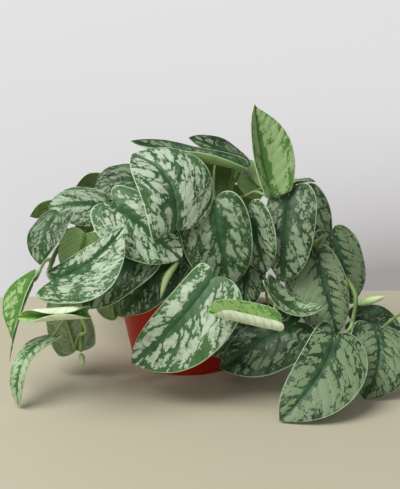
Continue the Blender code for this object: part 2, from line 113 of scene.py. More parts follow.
# Each vine runs through these points, from the soil outwards.
STEMS = {
    "stem_front": [(8, -16, 90), (14, -30, 118), (12, -42, 142), (2, -50, 152)],
    "stem_left": [
        (-15, -6, 90), (-26, -14, 122), (-46, -26, 148), (-72, -38, 156), (-98, -58, 150),
        (-117, -74, 134), (-125, -86, 116)],
    "stem_low_left": [
        (-26, -16, 90), (-46, -30, 114), (-68, -44, 112), (-84, -57, 92), (-96, -70, 66),
        (-98, -82, 36)],
    "stem_right": [
        (22, 0, 90), (46, -6, 126), (76, -14, 148), (106, -27, 139), (127, -37, 119),
        (144, -46, 104), (158, -64, 86), (154, -80, 62)],
    "stem_low_right": [
        (26, -22, 90), (46, -40, 112), (64, -55, 108), (76, -63, 96), (86, -68, 80)],
    "stem_top": [(14, 16, 90), (26, 16, 130), (44, 6, 156), (58, -6, 166)],
    "stem_back_left": [
        (-14, 22, 90), (-36, 40, 120), (-60, 58, 124), (-82, 76, 100), (-92, 88, 62), (-94, 96, 30)],
    "stem_back_right": [
        (20, 24, 90), (42, 46, 120), (64, 64, 122), (84, 82, 96), (94, 94, 58), (98, 104, 28)],
    "stem_trailing": [
        (36, 6, 90), (66, 16, 116), (94, 20, 98), (112, 16, 50), (134, 8, 10), (170, -4, 4),
        (206, -18, 6), (226, -34, 30), (222, -48, 62)],
}


def plan(stem, at, base, tip, face, width, **own):
    """A leaf's plan: what every leaf is given, and its own values where they differ from usual.

    stem and at: the vine that the stalk leaves, and where along it; via: a point it passes.
    base and tip: the two ends of the midrib.
    face: the way the upper side looks, as a heading from +X and a height above level, in degrees.
    bow and sweep: how far the midrib's middle stands proud of, and sideways from, a straight line.
    fold: how far each half is folded up along the midrib; curl: how far its margin then turns.
    skew: how much wider one half is than the other; lobe: length of each lobe by the notch.
    full: how much fuller than the outline each half stays towards the tip; narrow: how much
    narrower than the outline each half starts by the stalk.  Pairs: right half, left half; a
    single value holds for both.
    silver: how much of the blade is silver; veined: how far the silver follows the side veins;
    young: how new the leaf is; glow: how much painted light lightens its
    underside, from a shaded grey green to a green lit through from behind; fresh: how yellow its
    green is; dull: how much darker it is than the rest, partly as a duller older leaf
    and partly as painted shade on a leaf in shadow; wave: how far the margin waves, in millimetres.
    """
    usual = dict(
        via=None, bow=0, sweep=0, fold=8, curl=0, skew=0.0, lobe=1.0, full=0, narrow=0,
        silver=0.35, veined=0.0, young=0.0, glow=0.5, fresh=0.4, dull=0.2, wave=0.9)
    leaf = dict(usual, stem=stem, at=at, base=base, tip=tip, face=face, width=width, **own)
    pairs = {key: np.broadcast_to(leaf[key], 2) for key in ("curl", "lobe", "full", "narrow")}
    return {**leaf, **pairs}


LEAVES = {
    "leaf_crown": plan("stem_front", 1.0, (-9, -92, 158), (-49, -54, 218), (285, 42), 74, bow=13,
        sweep=-13, fold=10, curl=-25, skew=-0.1, lobe=(0.5, 0.15), full=(0.5, 0.0), narrow=(0.0, 0.3),
        via=(-10, -64, 160), silver=0.55, fresh=0.15),
    "leaf_front": plan("stem_front", 0.62, (25, -102, 116), (-49, -112, 37), (275, 40), 68, bow=6,
        sweep=6, curl=-12, skew=0.32, lobe=(0.4, 0.8), full=0.15, narrow=(0.25, 0.0), via=(4, -72, 116),
        silver=0.5, fresh=0.6, dull=0.1),
    "leaf_centre": plan("stem_front", 0.85, (25, -66, 175), (40, -78, 99), (268, 30), 66, bow=6, fold=10,
        curl=-15, skew=-0.09, full=0.2, silver=0.15, fresh=1.0, dull=0.7),
    "leaf_under_front": plan("stem_low_left", 0.22, (-12, -62, 132), (-60, -82, 72), (268, 20), 46, bow=5,
        fold=10, skew=0.15, silver=-0.4, fresh=0.5, dull=0.6),
    "leaf_shoulder": plan("stem_left", 0.25, (-43, -16, 182), (-88, -20, 172), (240, 60), 54, bow=8,
        curl=-20, silver=0.0, dull=1.0),
    "leaf_left_high": plan("stem_left", 0.42, (-64, -66, 175), (-4, -91, 129), (262, 45), 60, bow=4,
        fold=12, curl=-15, skew=-0.22, lobe=1.4, full=(0.0, 0.25), silver=0.55, fresh=0.6),
    "leaf_left_far": plan("stem_left", 0.55, (-76, -52, 169), (-126, -62, 170), (262, 50), 46, bow=4,
        fold=5, curl=-30, silver=0.6, veined=0.3, fresh=0.3, dull=0.4),
    "leaf_left_back": plan("stem_left", 0.62, (-108, -28, 162), (-145, -50, 158), (90, 30), 26, bow=6,
        fold=10, curl=-40, glow=0.8),
    "leaf_left_hanging": plan("stem_left", 0.74, (-115, -80, 169), (-129, -112, 131), (235, 15), 42,
        bow=8, fold=10, curl=-30, silver=0.0, fresh=0.6, dull=1.0),
    "leaf_left_turned": plan("stem_left", 0.68, (-92, -76, 148), (-104, -83, 108), (95, 10), 40,
        glow=1.0),
    "leaf_left_wide": plan("stem_left", 1.0, (-117, -110, 117), (-55, -95, 161), (285, 60), 56, bow=6,
        sweep=-12, fold=15, curl=-10, skew=-0.5, lobe=(2.6, 0.3), narrow=(0.0, 0.2), silver=0.45,
        fresh=0.6, dull=0.3),
    "leaf_left_young": plan("stem_left", 0.92, (-139, -88, 110), (-162, -100, 34), (215, 30), 42, bow=4,
        fold=35, curl=-10, full=-9, silver=0.1, young=0.7, fresh=0.8, dull=0.3),
    "leaf_left_low": plan("stem_low_left", 0.35, (-36, -78, 133), (-94, -96, 84), (262, 45), 50, bow=5,
        fold=10, curl=-10, via=(-50, -64, 132), silver=0.2, fresh=0.7, dull=0.45),
    "leaf_rim_turned": plan("stem_low_left", 0.55, (-66, -44, 58), (-88, -50, 96), (60, 5), 42, glow=0.3),
    "leaf_arched": plan("stem_low_left", 0.75, (-127, -92, 53), (-151, -130, 4), (225, 45), 20, bow=17,
        fold=10, curl=-10, lobe=1.2, full=0.5, narrow=-0.6, silver=1.1, veined=0.6, young=0.25,
        fresh=0.5),
    "leaf_low_turned": plan("stem_low_left", 0.9, (-105, -58, 28), (-124, -38, 85), (85, 0), 46, lobe=0.4,
        glow=0.0),
    "leaf_left_rolled": plan("stem_low_left", 0.9, (-90, -134, 94), (-153, -134, 89), (270, 25), 36,
        bow=4, fold=10, curl=(170, 150), full=-1.5, via=(-90, -114, 70), silver=0.6, young=1.0, wave=0.3),
    "leaf_right_narrow": plan("stem_right", 0.24, (57, -50, 165), (75, -66, 109), (250, 20), 46, bow=4,
        fold=25, skew=0.1, silver=0.4, veined=0.3, fresh=0.3, dull=0.6),
    "leaf_right_high": plan("stem_right", 0.38, (96, -40, 179), (89, -71, 101), (260, 30), 48, bow=6,
        fold=10, curl=-20, skew=0.15, full=(0.1, 0.4), silver=0.1, veined=0.2, fresh=0.2, dull=0.85),
    "leaf_right_behind": plan("stem_right", 0.48, (113, 6, 167), (124, -24, 99), (290, 30), 46, bow=6,
        curl=-20, silver=0.2, veined=0.4, fresh=0.1, dull=0.9),
    "leaf_right_wide": plan("stem_right", 0.58, (122, -50, 117), (141, -74, 50), (275, 30), 58, bow=6,
        curl=-25, skew=-0.25, lobe=1.4, silver=1.0, veined=1.0, fresh=0.1, dull=0.7),
    "leaf_right_last": plan("stem_right", 0.52, (138, -20, 131), (158, -40, 68), (290, 25), 50, bow=6,
        fold=6, curl=-20, silver=0.8, veined=1.0, fresh=0.1, dull=0.9),
    "leaf_right_front": plan("stem_right", 1.0, (136, -98, 58), (83, -160, 2), (272, 50), 66, bow=8,
        sweep=9, curl=-12, skew=0.2, full=(0.0, 0.15), narrow=(0.45, 0.1), silver=0.75, veined=1.0,
        fresh=0.3, dull=1.0),
    "leaf_right_low": plan("stem_low_right", 1.0, (104, -75, 63), (31, -92, 24), (268, 45), 56, bow=4,
        curl=-15, skew=0.25, silver=-0.35, fresh=0.8, dull=1.0),
    "leaf_right_under": plan("stem_low_right", 0.8, (81, -62, 62), (25, -76, 29), (265, 45), 44, bow=4,
        silver=0.0, fresh=0.5, dull=0.9),
    "leaf_right_rolled": plan("stem_low_right", 0.95, (78, -129, 78), (20, -143, 98), (270, 50), 38,
        bow=-1, fold=5, curl=(25, 260), full=(0.6, 0.3), via=(80, -97, 79), silver=0.7, young=1.0,
        wave=0.3),
    "leaf_right_folded": plan("stem_low_right", 0.72, (78, -80, 99), (126, -100, 87), (280, 60), 24,
        bow=-18, fold=20, silver=0.4, veined=0.3, young=0.1, dull=0.5),
    "leaf_end": plan("stem_trailing", 1.0, (179, -70, 52), (163, -113, 2), (280, 45), 62, bow=8, sweep=6,
        curl=-12, full=(0.0, 0.3), narrow=(0.3, 0.0), silver=0.4, veined=1.0, fresh=0.8, dull=0.9),
    "leaf_end_behind": plan("stem_trailing", 0.72, (160, -30, 48), (207, -40, 42), (280, 60), 40, bow=4,
        silver=-0.5, fresh=0.5, dull=1.0),
    "leaf_upright": plan("stem_top", 1.0, (79, -50, 179), (63, -36, 261), (306, 5), 55, bow=-3, fold=24,
        curl=10, skew=-0.25, lobe=0.2, full=(-0.6, 0.0), narrow=(0.8, 0.5), silver=0.9, young=0.7,
        wave=0.5),
    "leaf_top": plan("stem_top", 0.75, (47, -10, 196), (-52, -20, 223), (268, 62), 40, bow=-2, fold=5,
        curl=(-10, 105), skew=0.15, silver=-0.4, glow=1.0, fresh=0.8, dull=1.0),
    "leaf_top_behind": plan("stem_top", 0.6, (56, 24, 188), (2, 16, 218), (285, 60), 32, bow=4, fold=5,
        silver=0.1, dull=1.0),
    "leaf_top_turned": plan("stem_top", 0.9, (75, 30, 163), (48, 46, 187), (100, 10), 34, young=0.2,
        glow=0.7),
    "leaf_right_edge_on": plan("stem_right", 0.3, (91, 10, 168), (124, 2, 178), (90, 88), 20, bow=4,
        dull=0.8),
    "leaf_shoulder_turned": plan("stem_left", 0.3, (-71, 10, 172), (-111, 2, 160), (60, 40), 42, bow=6,
        fold=5),
    "leaf_left_side": plan("stem_back_left", 0.5, (-84, 36, 142), (-114, 56, 84), (150, 35), 54, bow=6,
        curl=-15),
    "leaf_back_top": plan("stem_top", 0.45, (28, 44, 186), (28, 64, 142), (88, 25), 44, bow=8, curl=-15),
    "leaf_back_centre": plan("stem_back_left", 0.3, (-14, 64, 160), (-22, 106, 96), (95, 35), 60, bow=7,
        curl=-15, silver=0.6, veined=0.5),
    "leaf_back_left": plan("stem_back_left", 0.42, (-60, 76, 144), (-78, 114, 84), (115, 30), 56, bow=6,
        curl=-15, silver=0.4, fresh=0.7),
    "leaf_back_left_low": plan("stem_back_left", 0.7, (-72, 98, 100), (-98, 122, 36), (120, 30), 52,
        bow=5, curl=-12),
    "leaf_back_left_end": plan("stem_back_left", 1.0, (-84, 118, 34), (-50, 166, 2), (90, 55), 54, bow=7,
        curl=-12),
    "leaf_back_right": plan("stem_back_right", 0.4, (40, 78, 150), (60, 118, 84), (80, 30), 60, bow=6,
        curl=-15, silver=0.5, fresh=0.2),
    "leaf_right_side": plan("stem_back_right", 0.52, (98, 66, 132), (136, 84, 74), (45, 35), 54, bow=6,
        curl=-15),
    "leaf_back_right_low": plan("stem_back_right", 0.72, (82, 112, 90), (104, 142, 34), (65, 30), 52,
        bow=5, curl=-12),
    "leaf_back_right_end": plan("stem_back_right", 1.0, (92, 125, 32), (52, 166, 2), (80, 55), 54, bow=7,
        curl=-12, silver=0.9, veined=0.8, dull=0.4),
    "leaf_inner": plan("stem_low_right", 0.3, (56, -46, 136), (53, -85, 75), (292, 30), 36, bow=3,
        curl=-10, skew=0.1, via=(54, -44, 122), silver=0.1, fresh=0.2, dull=1.0),
}

# A shoot is a tight roll that has not opened yet: a spindle along these points.
SHOOTS = {
    "shoot_right": dict(points=[(161, -71, 79), (172, -76, 85), (184, -80, 90)], radius=4.0),
    "shoot_front": dict(points=[(-7, -91, 127), (-17, -94, 113), (-23, -97, 94)], radius=3.6),
    "shoot_left": dict(points=[(-98, -83, 35), (-97, -86, 30), (-96, -88, 24)], radius=3.4),
}
SHOOT_GIRTH = ([0, 0.15, 0.4, 0.8, 1.0], [0.42, 0.8, 1, 0.66, 0.08])

# The table's half width, far edge, thickness and turn, and the wall's distance and size.
TABLE_HALF, TABLE_EDGE, TABLE_THICKNESS = 3000.0, 183.0, 30.0
TABLE_TURN = math.radians(3.0)
WALL_AWAY, WALL_HALF, WALL_LOW, WALL_HIGH = 1700.0, 5000.0, -2000.0, 4000.0

# Each lamp: its place and its side in metres, its power in watts and its colour.
LAMPS = {
    "window_lamp": ((-1.1, -0.75, 2.15), 1.7, 70.0, (1.0, 0.995, 0.985)),
    "fill_lamp": ((-0.6, -1.9, 0.9), 1.8, 7.0, (1.0, 1.0, 1.0)),
}
LAMP_TARGET = (0.0, 0.0, 0.1)
SURROUND_COLOUR, SURROUND_STRENGTH = (0.98, 0.98, 1.0, 1.0), 0.285

# The camera's place in metres, how far it looks down, and its frame and lens in millimetres.
CAMERA_PLACE = (0.013, -1.2093, 0.4897)
CAMERA_DOWN = math.radians(17.2)
CAMERA_FRAME, CAMERA_LENS = 24.0, 63.80368

# ---- Shapes ----


def smooth_through(points, position):
    """A Catmull-Rom curve through points, read at positions from 0 to 1."""
    given = np.asarray(points, dtype=float)
    spans = len(given) - 1
    padded = np.vstack([2 * given[0] - given[1], given, 2 * given[-1] - given[-2]])
    place = np.clip(np.asarray(position, dtype=float), 0.0, 1.0) * spans
    span = np.minimum(place.astype(int), spans - 1)
    part = (place - span)[..., None]
    before, start, end, after = (padded[span + shift] for shift in range(4))
    return 0.5 * (
        2 * start + (end - before) * part
        + (2 * before - 5 * start + 4 * end - after) * part ** 2
        + (3 * start - before - 3 * end + after) * part ** 3)


def unit(vectors):
    """Vectors divided by their length."""
    size = np.linalg.norm(vectors, axis=-1, keepdims=True)
    return vectors / np.maximum(size, 1e-9)


def run_along(path):
    """How far along a path each of its points is."""
    return np.concatenate([[0.0], np.cumsum(np.linalg.norm(np.diff(path, axis=0), axis=1))])


def grid_quads(index):
    """Faces between neighbouring rows and columns of an index grid, pointing along row x column."""
    corners = (index[:-1, :-1], index[1:, :-1], index[1:, 1:], index[:-1, 1:])
    return np.stack([corner.ravel() for corner in corners], axis=-1)


def without_repeats(quads):
    """Quads as lists, where a quad with two equal neighbouring corners becomes a triangle."""
    same = quads == np.roll(quads, -1, axis=1)
    whole = quads[~same.any(axis=1)].tolist()
    for corner in range(4):
        folded = quads[same[:, corner]]
        whole += np.delete(folded, corner, axis=1).tolist()
    return whole


def put_object(name, data):
    """A new object in the scene, at the origin."""
    made = bpy.data.objects.new(name, data)
    bpy.context.collection.objects.link(made)
    return made


def put_mesh(name, vertices, faces, finishes, slots=None, fields=None, smooth=True):
    """An object from points in millimetres.  fields are values per point that materials read."""
    mesh = bpy.data.meshes.new(name)
    mesh.from_pydata((np.asarray(vertices) * MM).tolist(), [], faces)
    for finish in finishes:
        mesh.materials.append(finish)
    if slots is not None:
        mesh.polygons.foreach_set("material_index", np.asarray(slots, dtype=np.int32))
    for field, values in (fields or {}).items():
        values = np.asarray(values, dtype=np.float32)
        kind, key = ("FLOAT_VECTOR", "vector") if values.ndim == 2 else ("FLOAT", "value")
        mesh.attributes.new(field, kind, "POINT").data.foreach_set(key, values.ravel())
    mesh.polygons.foreach_set("use_smooth", np.full(len(mesh.polygons), smooth))
    mesh.update()
    return put_object(name, mesh)


def circle(sides):
    """Cosines and sines of even steps around a circle."""
    angle = np.arange(sides) * 2 * math.pi / sides
    return np.cos(angle), np.sin(angle)


def tube_grid(path, radii, sides):
    """Points around a path: each is path + radius * (cos a * across + sin a * other).

    across is carried along the path without turning, by taking off its part along the path.
    """
    path = np.asarray(path, dtype=float)
    tangents = unit(np.gradient(path, axis=0))
    frames = np.empty_like(path)
    across = unit(np.cross(tangents[0], (0.31, 0.17, 0.93)))
    for step, along in enumerate(tangents):
        across = unit(across - np.dot(across, along) * along)
        frames[step] = across
    other = np.cross(tangents, frames)
    cosine, sine = (part[None, :, None] for part in circle(sides))
    ring = cosine * frames[:, None] + sine * other[:, None]
    return path[:, None] + np.asarray(radii, dtype=float)[:, None, None] * ring


def closed_tube(grid, first=0, ends=None):
    """Points and faces of a tube whose two ends are closed by a middle point."""
    rings, sides = grid.shape[:2]
    index = first + np.arange(rings * sides).reshape(rings, sides)
    index = np.hstack([index, index[:, :1]])
    ends = grid[[0, -1]].mean(axis=1) if ends is None else ends
    start, end = first + rings * sides, first + rings * sides + 1
    faces = grid_quads(index)[:, ::-1].tolist()
    faces += [[start, b, a] for a, b in zip(index[0, :-1].tolist(), index[0, 1:].tolist())]
    faces += [[end, a, b] for a, b in zip(index[-1, :-1].tolist(), index[-1, 1:].tolist())]
    return np.vstack([grid.reshape(-1, 3), ends]), faces


def per_ring(values, sides):
    """A value for each point of a closed tube from one for each of its rings."""
    return np.concatenate([np.repeat(values, sides), values[[0, -1]]])


def half_section(fold, curl, reach, half_width):
    """Distance across and height of a half blade: an arc that starts at fold and turns by curl."""
    start, turn = math.radians(fold), math.radians(curl)
    if abs(turn) < 0.001:
        return half_width * reach * math.cos(start), half_width * reach * math.sin(start)
    radius = half_width / turn
    across = radius * (np.sin(start + turn * reach) - math.sin(start))
    height = radius * (math.cos(start) - np.cos(start + turn * reach))
    return across, height


def leaf_frame(leaf):
    """Length and the three directions of a leaf: to the tip, to its left, and up from it."""
    along = np.subtract(leaf["tip"], leaf["base"]).astype(float)
    length = np.linalg.norm(along)
    along /= length
    heading, height = (math.radians(angle) for angle in leaf["face"])
    look = np.array([
        math.cos(heading) * math.cos(height), math.sin(heading) * math.cos(height),
        math.sin(height)])
    up = unit(look - np.dot(look, along) * along)
    return length, along, np.cross(up, along), up


def leaf_points(leaf, x, across=0.0, height=0.0):
    """Points of a leaf: base + x * tip + across + height + 4x(1 - x) * (sweep, bow)."""
    length, along, left, up = leaf_frame(leaf)
    bulge = 4 * x * (1 - x)
    return (
        np.array(leaf["base"], dtype=float) + (x * length)[..., None] * along
        + (across + leaf["sweep"] * bulge)[..., None] * left
        + (height + leaf["bow"] * bulge)[..., None] * up)


def blade_sheet(leaf, seed):
    """The blade's middle surface and, for each point, its place in the leaf.

    Row t meets the midrib at t^1.25 and the margin at OUTLINE(t), and is straight in between.
    Each half is an arc across.  The midrib is sunk by 0.9 exp(-(d / 1.6)^2), the blade swells
    by 0.5 mm between midrib and margin, and the margin waves by the leaf's own amount.
    """
    length = leaf_frame(leaf)[0]
    row = np.linspace(0.0, 1.0, BLADE_ROWS + 1)
    column = np.concatenate([-BLADE_COLUMNS[:0:-1], BLADE_COLUMNS])
    margin = smooth_through(OUTLINE, row)
    from_midrib = np.abs(column)[None, :]
    x = (row ** 1.25)[:, None] * (1 - from_midrib) + margin[:, :1] * from_midrib
    x = np.where(x < 0, x * np.where(column < 0, *leaf["lobe"])[None, :], x)
    across, height, spread = np.zeros_like(x), np.zeros_like(x), np.zeros_like(x)
    for side, curl, full, narrow in zip((-1, 1), leaf["curl"], leaf["full"], leaf["narrow"]):
        reach = margin[:, 1:] ** (1 - full * row[:, None]) * from_midrib
        reach = reach * (1 - narrow * (1 - row[:, None]) ** 2)
        half_width = leaf["width"] / 2 * (1 + side * leaf["skew"])
        run, rise = half_section(leaf["fold"], curl, reach, half_width)
        half = column * side >= 0
        across[:, half] = (side * run)[:, half]
        height[:, half] = rise[:, half]
        spread[:, half] = (side * half_width * reach)[:, half]
    fade = np.sin(math.pi * np.clip(row, 0, 1))[:, None] ** 0.5
    height = height - MIDRIB_DEPTH * np.exp(-(spread / MIDRIB_REACH) ** 2) * fade
    height = height + BLADE_SWELL * np.sin(math.pi * from_midrib) * fade
    wave = np.sin(2 * math.pi * (MARGIN_WAVES * x + seed) + 1.7 * np.sign(column)[None, :])
    height = height + leaf["wave"] * wave * from_midrib ** 2 * fade
    rim = np.broadcast_to(from_midrib, x.shape)
    return leaf_points(leaf, x, across, height), np.stack([x, spread / length, rim], axis=-1)


def sheet_normals(sheet):
    """Unit normals of a grid of points, pointing to the blade's upper side."""
    along = np.gradient(sheet, axis=0)
    across = np.gradient(sheet, axis=1)
    across[0] = across[1]
    across[-1] = across[-2]
    normals = unit(np.cross(along, across))
    middle = sheet.shape[1] // 2
    normals[0] = normals[1, middle]
    normals[-1] = normals[-2, middle]
    return normals


def blade_solid(leaf, seed):
    """The blade as a closed plate: points, faces, their slots and the places in the leaf."""
    sheet, place = blade_sheet(leaf, seed)
    offset = BLADE_THICKNESS / 2 * sheet_normals(sheet)
    rows, columns = sheet.shape[:2]
    points = np.concatenate([(sheet + offset).reshape(-1, 3), (sheet - offset).reshape(-1, 3)])
    top = np.arange(rows * columns).reshape(rows, columns)
    top[0], top[-1] = top[0, 0], top[-1, 0]
    bottom = top + rows * columns
    upper = grid_quads(top)
    under = grid_quads(bottom)[:, ::-1]
    edges = [
        grid_quads(np.stack([bottom[:, 0], top[:, 0]], axis=1)),
        grid_quads(np.stack([top[:, -1], bottom[:, -1]], axis=1))]
    used, renamed = np.unique(np.concatenate([upper, under, *edges]), return_inverse=True)
    parts = np.split(renamed.reshape(-1, 4), np.cumsum([len(upper), len(under)]))
    upper, under, rim = (without_repeats(part) for part in parts)
    slots = [0] * len(upper) + [1] * len(under) + [0] * len(rim)
    places = np.tile(place.reshape(-1, 3), (2, 1))
    return points[used], upper + under + rim, slots, places[used]


def stem_point(name, at):
    """A point on a vine's centre line and the vine's direction there."""
    here = smooth_through(STEMS[name], [at])[0]
    near = smooth_through(STEMS[name], [max(at - 0.01, 0.0), min(at + 0.01, 1.0)])
    return here, unit(near[1] - near[0])


def stalk_path(leaf):
    """The stalk's curve, from inside the vine's skin to just under the blade at the notch.

    It passes the leaf's via point, or else it is a Bezier curve that leaves the vine outwards
    and meets the blade from behind and below.
    """
    length, along, _, up = leaf_frame(leaf)
    centre, direction = stem_point(leaf["stem"], leaf["at"])
    notch = np.array(leaf["base"], dtype=float)
    if leaf["at"] >= 1.0:
        out = direction
        start = centre - SUNK_IN_END * out
    else:
        out = notch - centre
        out = unit(out - np.dot(out, direction) * direction)
        start = centre + (STEM_RADIUS - SUNK_IN_SIDE) * out
    reach = np.linalg.norm(notch - start)
    end = leaf_points(leaf, np.asarray(KEEL_START / length)) - UNDER_BLADE * up
    steps = np.linspace(0.0, 1.0, STALK_STEPS + 1)
    if leaf["via"]:
        return smooth_through([start, leaf["via"], end], steps)
    first = start + 0.40 * reach * out + np.array([0.0, 0.0, 0.1 * reach])
    second = end + 0.35 * reach * unit(-0.5 * along - up)
    steps = steps[:, None]
    return (
        start * (1 - steps) ** 3 + 3 * first * steps * (1 - steps) ** 2
        + 3 * second * steps ** 2 * (1 - steps) + end * steps ** 3)


def stalk_and_keel(leaf):
    """A tube along the stalk that runs on under the blade as the midrib's keel.

    Its radius is the stalk's, plus 0.9 exp(-s / 4) where it sheathes the vine and a slight
    swelling below the blade.  The keel's radius r thins to 0.3 at three quarters of the leaf,
    and its middle is 0.9 + 0.8 r below the midrib.
    """
    length, _, _, up = leaf_frame(leaf)
    path = stalk_path(leaf)
    run = run_along(path)
    neck = np.exp(-((run - run[-1] + 3) / NECK_REACH) ** 2)
    radii = STALK_RADIUS + SHEATH_SWELL * np.exp(-run / SHEATH_REACH) + NECK_SWELL * neck
    x = np.linspace(0.0, 1.0, KEEL_STEPS)[1:] * KEEL_SHARE + KEEL_START / length
    thin = (1 - (x - x[0]) / (x[-1] - x[0])) ** 0.7 * (STALK_RADIUS - 0.35) + 0.3
    keel = leaf_points(leaf, x) - (0.9 + 0.8 * thin)[:, None] * up
    return tube_grid(np.vstack([path, keel]), np.concatenate([radii, thin]), STALK_SIDES)


def leaf_seed(name):
    """A number from 0 to 1 that is the same for a name on every run."""
    value = 0
    for letter in name:
        value = (value * 31 + ord(letter)) % 9973
    return value / 9973


def make_leaf(name, leaf, finishes):
    """A leaf: blade, stalk and keel as one piece with three finishes."""
    seed = leaf_seed(name)
    points, faces, slots, places = blade_solid(leaf, seed)
    grid = stalk_and_keel(leaf)
    more, tube_faces = closed_tube(grid, len(points))
    run = per_ring(np.linspace(0.0, 1.0, len(grid)), STALK_SIDES)
    points = np.vstack([points, more])
    fields = {
        "leaf_place": np.vstack([places, np.stack([run, run * 0, run * 0], axis=1)]),
        "leaf_habit": np.tile((seed, leaf["silver"], leaf["veined"]), (len(points), 1)),
        "leaf_tone": np.tile((leaf["young"], leaf["glow"], leaf["fresh"]), (len(points), 1)),
        "leaf_dull": np.full(len(points), leaf["dull"])}
    return put_mesh(
        name + "_skin", points, faces + tube_faces, finishes, slots + [2] * len(tube_faces), fields)


def make_stem(name, points, finish):
    """A vine: its radius is STEM_RADIUS * (1.02 - 0.3 p^2) * (1 + 0.26 exp(-(s / 2.6)^2)).

    p runs from 0 to 1 along it and s is the way to the nearest leaf.  Its last 1.5 mm narrow to
    0.55 of that.
    """
    position = np.linspace(0.0, 1.0, STEM_STEPS * (len(points) - 1) + 1)
    path = smooth_through(points, position)
    path[0, 2] -= STEM_SUNK
    run = run_along(path)
    swell = np.zeros_like(run)
    for leaf in LEAVES.values():
        if leaf["stem"] == name:
            away = run - np.interp(leaf["at"], position, run)
            swell = np.maximum(swell, np.exp(-(away / JOINT_REACH) ** 2))
    radii = STEM_RADIUS * (1.02 - 0.30 * position ** 2) * (1 + JOINT_SWELL * swell)
    radii = radii * np.interp(run, [0.0, run[-1] - STEM_END, run[-1]], [1.0, 1.0, 0.55])
    points, faces = closed_tube(tube_grid(path, radii, STEM_SIDES))
    fields = {"vine_joint": per_ring(swell, STEM_SIDES)}
    return put_mesh(name + "_skin", points, faces, [finish], fields=fields)


def make_shoot(name, shoot, finish):
    """An unopened leaf rolled on itself: a spindle whose section is a spiral with one free edge.

    A point stands at 0.86 + 0.14 u of the girth, where u runs from 0 to 1 round from the edge,
    and the edge goes 0.35 of a turn round the roll.
    """
    position = np.linspace(0.0, 1.0, SHOOT_STEPS)
    radii = shoot["radius"] * np.interp(position, *SHOOT_GIRTH)
    grid = tube_grid(smooth_through(shoot["points"], position), radii, SHOOT_SIDES)
    centre = grid.mean(axis=1, keepdims=True)
    turn = (np.arange(SHOOT_SIDES)[None, :] / SHOOT_SIDES + 0.35 * position[:, None]) % 1.0
    spiral = 0.86 + 0.14 * turn
    points, faces = closed_tube(centre + (grid - centre) * spiral[..., None])
    fields = {
        "roll_wrap": np.concatenate([turn.ravel(), [0.5, 0.5]]),
        "roll_run": per_ring(position, SHOOT_SIDES)}
    return put_mesh(name + "_skin", points, faces, [finish], fields=fields)


def rounded(profile, radius, steps=4):
    """A profile whose corners are replaced by short quadratic curves that start radius away."""
    given = np.asarray(profile, dtype=float)
    out = [given[:1]]
    for before, corner, after in zip(given, given[1:], given[2:]):
        back, ahead = before - corner, after - corner
        reach = min(radius, 0.45 * np.linalg.norm(back), 0.45 * np.linalg.norm(ahead))
        start, end = corner + reach * unit(back), corner + reach * unit(ahead)
        t = np.linspace(0.0, 1.0, steps)[:, None]
        out.append(start * (1 - t) ** 2 + 2 * corner * t * (1 - t) + end * t ** 2)
    out.append(given[-1:])
    return np.vstack(out)


def turned(name, profile, sides, finish):
    """A profile of radius and height turned about Z; it starts and ends on the axis."""
    profile = np.asarray(profile, dtype=float)
    rings = profile[1:-1]
    cosine, sine = circle(sides)
    heights = np.broadcast_to(rings[:, 1:], (len(rings), sides))
    grid = np.stack([rings[:, :1] * cosine, rings[:, :1] * sine, heights], axis=-1)
    ends = [(0, 0, profile[0, 1]), (0, 0, profile[-1, 1])]
    return put_mesh(name, *closed_tube(grid, ends=ends), [finish])


def make_pot(finish):
    """The pot: tapered wall, shoulder, rim band with a rolled lip, and a floor with drain holes.

    The tenths of a millimetre in its profile are the draft that lets a pot leave its mould.
    """
    profile = rounded([
        (0.0, 0.0), (POT_BASE_RADIUS - 0.4, 0.0), (POT_SHOULDER_RADIUS, POT_SHOULDER_HEIGHT),
        (POT_RIM_RADIUS - 0.3, POT_SHOULDER_HEIGHT + 0.2), (POT_RIM_RADIUS, POT_HEIGHT),
        (POT_RIM_RADIUS - POT_LIP, POT_HEIGHT - 0.2),
        (POT_SHOULDER_RADIUS - POT_WALL + 0.6, POT_SHOULDER_HEIGHT),
        (POT_BASE_RADIUS - POT_WALL + POT_TAPER * POT_FLOOR, POT_FLOOR), (0.0, POT_FLOOR)],
        POT_ROUNDING)
    pot = turned("pot_shell", profile, POT_SIDES, finish)
    for cosine, sine in zip(*circle(DRAIN_HOLES)):
        centre = np.array([DRAIN_CIRCLE * cosine, DRAIN_CIRCLE * sine, 0.0])
        path = [centre + (0, 0, -2.0), centre + (0, 0, POT_FLOOR + 2.0)]
        drill = closed_tube(tube_grid(path, [DRAIN_RADIUS] * 2, DRAIN_SIDES))
        cut_away(pot, put_mesh("drain", *drill, []))
    pot.data.set_sharp_from_angle(angle=math.radians(40))
    return pot


def cut_away(target, cutter):
    """Cut cutter out of target and drop it."""
    modifier = target.modifiers.new("Cut", "BOOLEAN")
    modifier.operation = "DIFFERENCE"
    modifier.solver = "EXACT"
    modifier.object = cutter
    bpy.context.view_layer.update()
    graph = bpy.context.evaluated_depsgraph_get()
    result = bpy.data.meshes.new_from_object(target.evaluated_get(graph))
    target.modifiers.clear()
    target.data = result
    bpy.data.objects.remove(cutter)


def lumps(x, y, size, seed):
    """Smooth bumps over the plane: a sum of six sines of wave length size in turned directions."""
    total = np.zeros_like(x)
    for wave in range(6):
        heading = 2.4 * wave + seed
        stretch = size * (0.75 + 0.11 * wave)
        phase = 1.9 * wave * wave + seed
        run = x * math.cos(heading) + y * math.sin(heading)
        total += np.sin(2 * math.pi * run / stretch + phase)
    return total / 6


